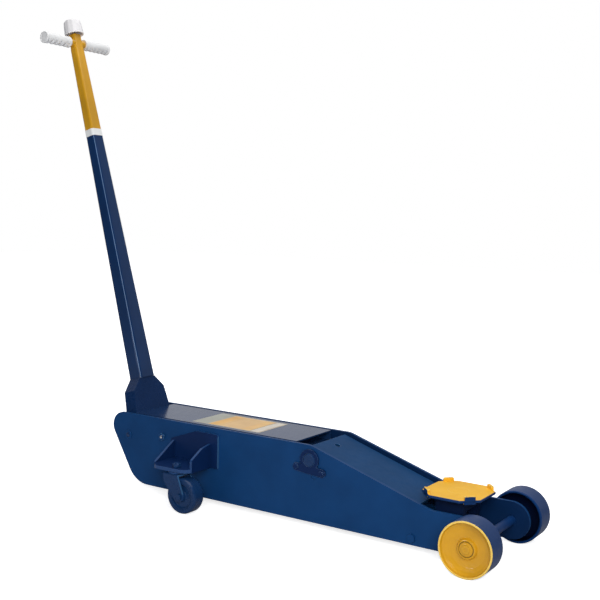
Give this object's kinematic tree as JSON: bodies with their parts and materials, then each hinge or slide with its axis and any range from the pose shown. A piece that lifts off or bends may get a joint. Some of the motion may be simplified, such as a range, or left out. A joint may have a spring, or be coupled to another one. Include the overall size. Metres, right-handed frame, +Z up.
{
  "type": "hydraulic floor jack",
  "caption": "Long-chassis hydraulic floor jack on wheels and swivel casters, with a lift arm, a level saddle, a pump and ram, and a tall T-handle with a release knob.",
  "frame": {"origin": "middle of the standing jack's footprint box, on the ground", "axes": "+X from the handle towards the saddle, +Y to the left of someone at the handle facing the saddle, +Z up"},
  "size_m": [1.7572, 0.5018, 1.5825],
  "materials": {
    "blue_paint": "gloss",
    "yellow_paint": "semi-gloss",
    "white_plastic": "satin",
    "steel": "satin",
    "dark_steel": "painted",
    "chrome": "polished",
    "cast_iron_paint": "painted",
    "spring_steel": "satin"
  },
  "bodies": {
    "frame": {"side_plate_left": "blue_paint", "side_plate_right": "blue_paint", "deck_cover": "blue_paint", "front_spacer": "blue_paint", "rear_spacer": "blue_paint", "front_axle": "steel", "axle_spacer_left": "blue_paint", "axle_spacer_right": "blue_paint", "caster_bracket_left": "blue_paint", "caster_bracket_right": "blue_paint", "king_bolt_left": "steel", "king_bolt_right": "steel", "pump_block": "cast_iron_paint", "pump_spring": "spring_steel", "fluid_reservoir": "cast_iron_paint", "reservoir_bolt": "steel", "cylinder": "cast_iron_paint", "cylinder_gland": "steel", "cylinder_support": "blue_paint", "arm_pivot_shaft": "steel", "pivot_keeper_left": "blue_paint", "pivot_keeper_right": "blue_paint", "rod_pin_left": "steel", "rod_pin_right": "steel", "handle_pin_left": "steel", "handle_pin_right": "steel"},
    "lift_arm": {"arm_cheek_left": "blue_paint", "arm_cheek_right": "blue_paint", "arm_top_plate": "blue_paint", "arm_tie_tube": "blue_paint", "lift_lever": "cast_iron_paint", "saddle_pin": "steel"},
    "saddle_yoke": {"saddle_yoke": "cast_iron_paint"},
    "saddle": {"saddle": "yellow_paint"},
    "radius_rods": {"radius_rod_left": "steel", "radius_rod_right": "steel"},
    "ram": {"ram": "chrome", "ram_crosshead": "steel", "crosshead_pin": "steel"},
    "handle": {"handle_socket": "blue_paint", "pump_roller_pin": "steel", "handle_tube_lower": "blue_paint", "handle_band": "white_plastic", "handle_tube_upper": "yellow_paint", "handle_head": "yellow_paint", "grip_left": "white_plastic", "grip_right": "white_plastic"},
    "release_knob": {"release_knob": "white_plastic", "release_rod": "steel"},
    "pump_plunger": {"pump_plunger": "chrome"},
    "release_valve": {"release_spindle": "steel"},
    "front_wheel_left": {"front_wheel_left": "yellow_paint"},
    "caster_left": {"caster_fork_left": "blue_paint", "caster_axle_left": "steel"},
    "caster_wheel_left": {"caster_wheel_left": "dark_steel"},
    "front_wheel_right": {"front_wheel_right": "yellow_paint"},
    "caster_right": {"caster_fork_right": "blue_paint", "caster_axle_right": "steel"},
    "caster_wheel_right": {"caster_wheel_right": "dark_steel"}
  },
  "joints": [
    {"name": "arm_lift", "type": "hinge", "parent": "frame", "child": "lift_arm", "pos_m": [0.26557, 0, 0.207], "axis": [0, -1, 0], "range_deg": [0, 62]},
    {"name": "saddle_level", "type": "hinge", "parent": "lift_arm", "child": "saddle_yoke", "pos_m": [0.68657, 0, 0.095], "axis": [0, -1, 0], "range_deg": [-62, 0]},
    {"name": "saddle_swivel", "type": "hinge", "parent": "saddle_yoke", "child": "saddle", "pos_m": [0.68657, 0, 0.165], "axis": [0, 0, 1], "continuous": true},
    {"name": "radius_rod_swing", "type": "hinge", "parent": "frame", "child": "radius_rods", "pos_m": [0.27957, 0, 0.159], "axis": [0, -1, 0], "range_deg": [0, 62]},
    {"name": "ram_slide", "type": "slide", "parent": "frame", "child": "ram", "axis": [1, 0, 0], "range_m": [0, 0.1111]},
    {"name": "handle_pump", "type": "hinge", "parent": "frame", "child": "handle", "pos_m": [-0.45343, 0, 0.178], "axis": [0, -1, 0], "range_deg": [0, 60]},
    {"name": "knob_turn", "type": "hinge", "parent": "handle", "child": "release_knob", "pos_m": [-0.45343, 0, 0.178], "axis": [-0.274, 0, 0.9617], "range_deg": [0, 180]},
    {"name": "plunger_slide", "type": "slide", "parent": "frame", "child": "pump_plunger", "axis": [0, 0, 1], "range_m": [-0.0245, 0], "deforming": ["pump_spring"]},
    {"name": "valve_turn", "type": "hinge", "parent": "frame", "child": "release_valve", "pos_m": [-0.45343, 0, 0.14], "axis": [0, 0, 1], "range_deg": [0, 180]},
    {"name": "front_wheel_spin_left", "type": "hinge", "parent": "frame", "child": "front_wheel_left", "pos_m": [0.80257, 0.175, 0.076], "axis": [0, 1, 0], "continuous": true},
    {"name": "caster_swivel_left", "type": "hinge", "parent": "frame", "child": "caster_left", "pos_m": [-0.15843, 0.21287, 0.115], "axis": [0, 0, 1], "continuous": true},
    {"name": "caster_wheel_spin_left", "type": "hinge", "parent": "caster_left", "child": "caster_wheel_left", "pos_m": [-0.12243, 0.21287, 0.055], "axis": [0, 1, 0], "continuous": true},
    {"name": "front_wheel_spin_right", "type": "hinge", "parent": "frame", "child": "front_wheel_right", "pos_m": [0.80257, -0.175, 0.076], "axis": [0, 1, 0], "continuous": true},
    {"name": "caster_swivel_right", "type": "hinge", "parent": "frame", "child": "caster_right", "pos_m": [-0.15843, -0.21287, 0.115], "axis": [0, 0, 1], "continuous": true},
    {"name": "caster_wheel_spin_right", "type": "hinge", "parent": "caster_right", "child": "caster_wheel_right", "pos_m": [-0.12243, -0.21287, 0.055], "axis": [0, 1, 0], "continuous": true}
  ],
  "couplings": [
    {"joint": "saddle_level", "follows": "arm_lift", "ratio": -1},
    {"joint": "radius_rod_swing", "follows": "arm_lift", "ratio": 1},
    {"joint": "ram_slide", "follows": "arm_lift", "m_per_rad": 0.10217},
    {"joint": "plunger_slide", "follows": "handle_pump", "m_per_rad": -0.022918},
    {"joint": "valve_turn", "follows": "knob_turn", "ratio": 1}
  ]
}
